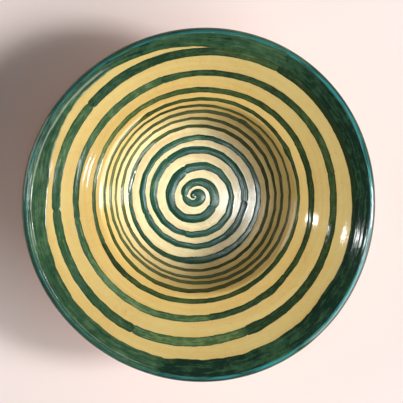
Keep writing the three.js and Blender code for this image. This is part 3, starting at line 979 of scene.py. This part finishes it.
def hang(data, aim, side, lean, distance):
    """Hangs a lamp that faces a point, from a direction given by two angles."""
    lamp = add(data.name, data)
    a, e = math.radians(side), math.radians(lean)
    away = Vector((math.cos(a) * math.sin(e), math.sin(a) * math.sin(e), math.cos(e)))
    lamp.location = Vector(aim) + away * distance
    lamp.rotation_euler = away.to_track_quat("Z", "Y").to_euler()


def area_light(name, side, lean, distance, width, height, watts, hue):
    """A rectangular lamp that faces the dish."""
    data = bpy.data.lights.new(name, "AREA")
    data.shape = "RECTANGLE"
    data.size, data.size_y = width, height
    data.energy, data.color = watts, hue
    hang(data, (0, 0, RIM_HEIGHT), side, lean, distance)


def floor_lamp(form):
    """A round lamp above the well that fills the shade which the wall throws over its floor."""
    data = bpy.data.lights.new("floor_lamp", "SPOT")
    data.energy, data.shadow_soft_size, data.spot_blend = FLOOR_WATTS, FLOOR_SOFTNESS, 1
    data.spot_size = 2 * math.atan2(FLOOR_REACH, FLOOR_DISTANCE)
    aim = [(form.axis[k] + FLOOR_AIM[k]) * MM for k in (0, 1)]
    hang(data, (*aim, form.floor_height * MM), FLOOR_SIDE, FLOOR_LEAN, FLOOR_DISTANCE)


def view_camera(form):
    """A long lens almost straight above the rim, with +Y up in the picture."""
    lean = math.radians(VIEW_LEAN)
    side = Vector(VIEW_SIDE).normalized()
    away = Vector((side.x * math.sin(lean), side.y * math.sin(lean), math.cos(lean)))
    right = Vector((0, 1, 0)).cross(away).normalized()
    up = away.cross(right)
    aim = Vector(((form.axis[0] + VIEW_AIM[0]) * MM, (form.axis[1] + VIEW_AIM[1]) * MM, RIM_HEIGHT))
    data = bpy.data.cameras.new("view")
    data.sensor_width = SENSOR
    data.lens = SENSOR * VIEW_DISTANCE / VIEW_WIDTH
    camera = add("view", data)
    camera.rotation_mode = "QUATERNION"
    camera.rotation_quaternion = Matrix((right, up, away)).transposed().to_quaternion()
    camera.location = aim + away * VIEW_DISTANCE
    bpy.context.scene.camera = camera


def stage_floor(material):
    """A wide flat sheet just under the dish, as a grid of points."""
    line = np.linspace(-TABLE_SIZE, TABLE_SIZE, TABLE_STEPS)
    x, y = np.meshgrid(line, line)
    z = 0 * x - TABLE_DROP
    index = np.arange(x.size).reshape(x.shape)
    quads = np.stack([index[:-1, :-1], index[:-1, 1:], index[1:, 1:], index[1:, :-1]], -1).reshape(-1, 4)
    mesh = bpy.data.meshes.new("pale_table")
    mesh.from_pydata(np.stack([x, y, z], -1).reshape(-1, 3).tolist(), [], quads.tolist())
    mesh.materials.append(material)
    add("pale_table", mesh)


# ---- Operators, panel and registration ----
def form_of(context):
    return Form(context.scene.dish_sizes)


class DISH_OT_clay(bpy.types.Operator):
    """Throw the clay body and turn its foot ring"""

    bl_idname = "dish.clay"
    bl_label = "Clay and Foot"

    def execute(self, context):
        form = form_of(context)
        finish = clay_finish(context.scene.dish_colours)
        place(clay_body(form), "clay_body", finish, "bare_clay")
        place(foot_ring(form, context.scene.dish_sizes.turns), "foot_ring", finish, "bare_clay")
        return {"FINISHED"}


class DISH_OT_ground(bpy.types.Operator):
    """Glaze the inside pale yellow"""

    bl_idname = "dish.ground"
    bl_label = "Ground Glaze"

    def execute(self, context):
        sizes = context.scene.dish_sizes
        mesh = ground_glaze(Form(sizes), sizes.turns)
        place(mesh, "ground_glaze", ground_finish(context.scene.dish_colours), "yellow_glaze")
        return {"FINISHED"}


class DISH_OT_outside(bpy.types.Operator):
    """Glaze the outside honey brown"""

    bl_idname = "dish.outside"
    bl_label = "Outer Glaze"

    def execute(self, context):
        sizes = context.scene.dish_sizes
        mesh = outer_glaze(Form(sizes), sizes.turns)
        place(mesh, "outer_glaze", honey_finish(context.scene.dish_colours), "honey_glaze")
        return {"FINISHED"}


class DISH_OT_spiral(bpy.types.Operator):
    """Brush the spiral line, one load after another"""

    bl_idname = "dish.spiral"
    bl_label = "Spiral Strokes"

    def execute(self, context):
        line = BrushedLine(form_of(context))
        finish = line_finish(context.scene.dish_colours)
        start = LINE_START
        for index, (end, loads) in enumerate(BRUSH_LOADS, 1):
            mesh = line.load(index, start, end, loads)
            place(mesh, f"spiral_stroke_{index:02d}", finish, "line_green")
            start = end
        return {"FINISHED"}


class DISH_OT_rim(bpy.types.Operator):
    """Brush the four lengths of the rim band"""

    bl_idname = "dish.rim"
    bl_label = "Rim Band"

    def execute(self, context):
        form = form_of(context)
        finish = rim_finish(context.scene.dish_colours)
        for index, (start, end) in enumerate(BAND_LENGTHS, 1):
            mesh = rim_band(form, index, start, end)
            place(mesh, f"rim_band_{index}", finish, "rim_green")
        return {"FINISHED"}


class DISH_OT_stage(bpy.types.Operator):
    """Lay the floor and set the lights and the camera"""

    bl_idname = "dish.stage"
    bl_label = "Stage"

    def execute(self, context):
        scene = context.scene
        stage_floor(table_finish(scene.dish_colours))
        for row in LIGHTS:
            area_light(*row)
        scene.world = bpy.data.worlds.new("room")
        scene.world.use_nodes = True
        sky = scene.world.node_tree.nodes["Background"]
        sky.inputs["Color"].default_value = ROOM_COLOUR
        sky.inputs["Strength"].default_value = ROOM_STRENGTH
        scene.view_settings.view_transform = "Standard"
        floor_lamp(form_of(context))
        view_camera(form_of(context))
        return {"FINISHED"}


STEPS = (DISH_OT_clay, DISH_OT_ground, DISH_OT_outside, DISH_OT_spiral, DISH_OT_rim, DISH_OT_stage)


class DISH_PT_panel(bpy.types.Panel):
    """The dish's sizes, colours and steps"""

    bl_idname = "DISH_PT_panel"
    bl_label = "Hand Painted Dish"
    bl_space_type = "VIEW_3D"
    bl_region_type = "UI"
    bl_category = "Dish"

    def draw(self, context):
        for group in (context.scene.dish_sizes, context.scene.dish_colours):
            box = self.layout.box()
            for name in group.__annotations__:
                box.prop(group, name)
        for step in STEPS:
            self.layout.operator(step.bl_idname)


CLASSES = (DishSizes, DishColours, *STEPS, DISH_PT_panel)


def register():
    for cls in CLASSES:
        bpy.utils.register_class(cls)
    bpy.types.Scene.dish_sizes = PointerProperty(type=DishSizes)
    bpy.types.Scene.dish_colours = PointerProperty(type=DishColours)


def unregister():
    del bpy.types.Scene.dish_colours
    del bpy.types.Scene.dish_sizes
    for cls in reversed(CLASSES):
        bpy.utils.unregister_class(cls)


def main():
    register()
    for step in STEPS:
        group, name = step.bl_idname.split(".")
        getattr(getattr(bpy.ops, group), name)()


if __name__ == "__main__":
    main()
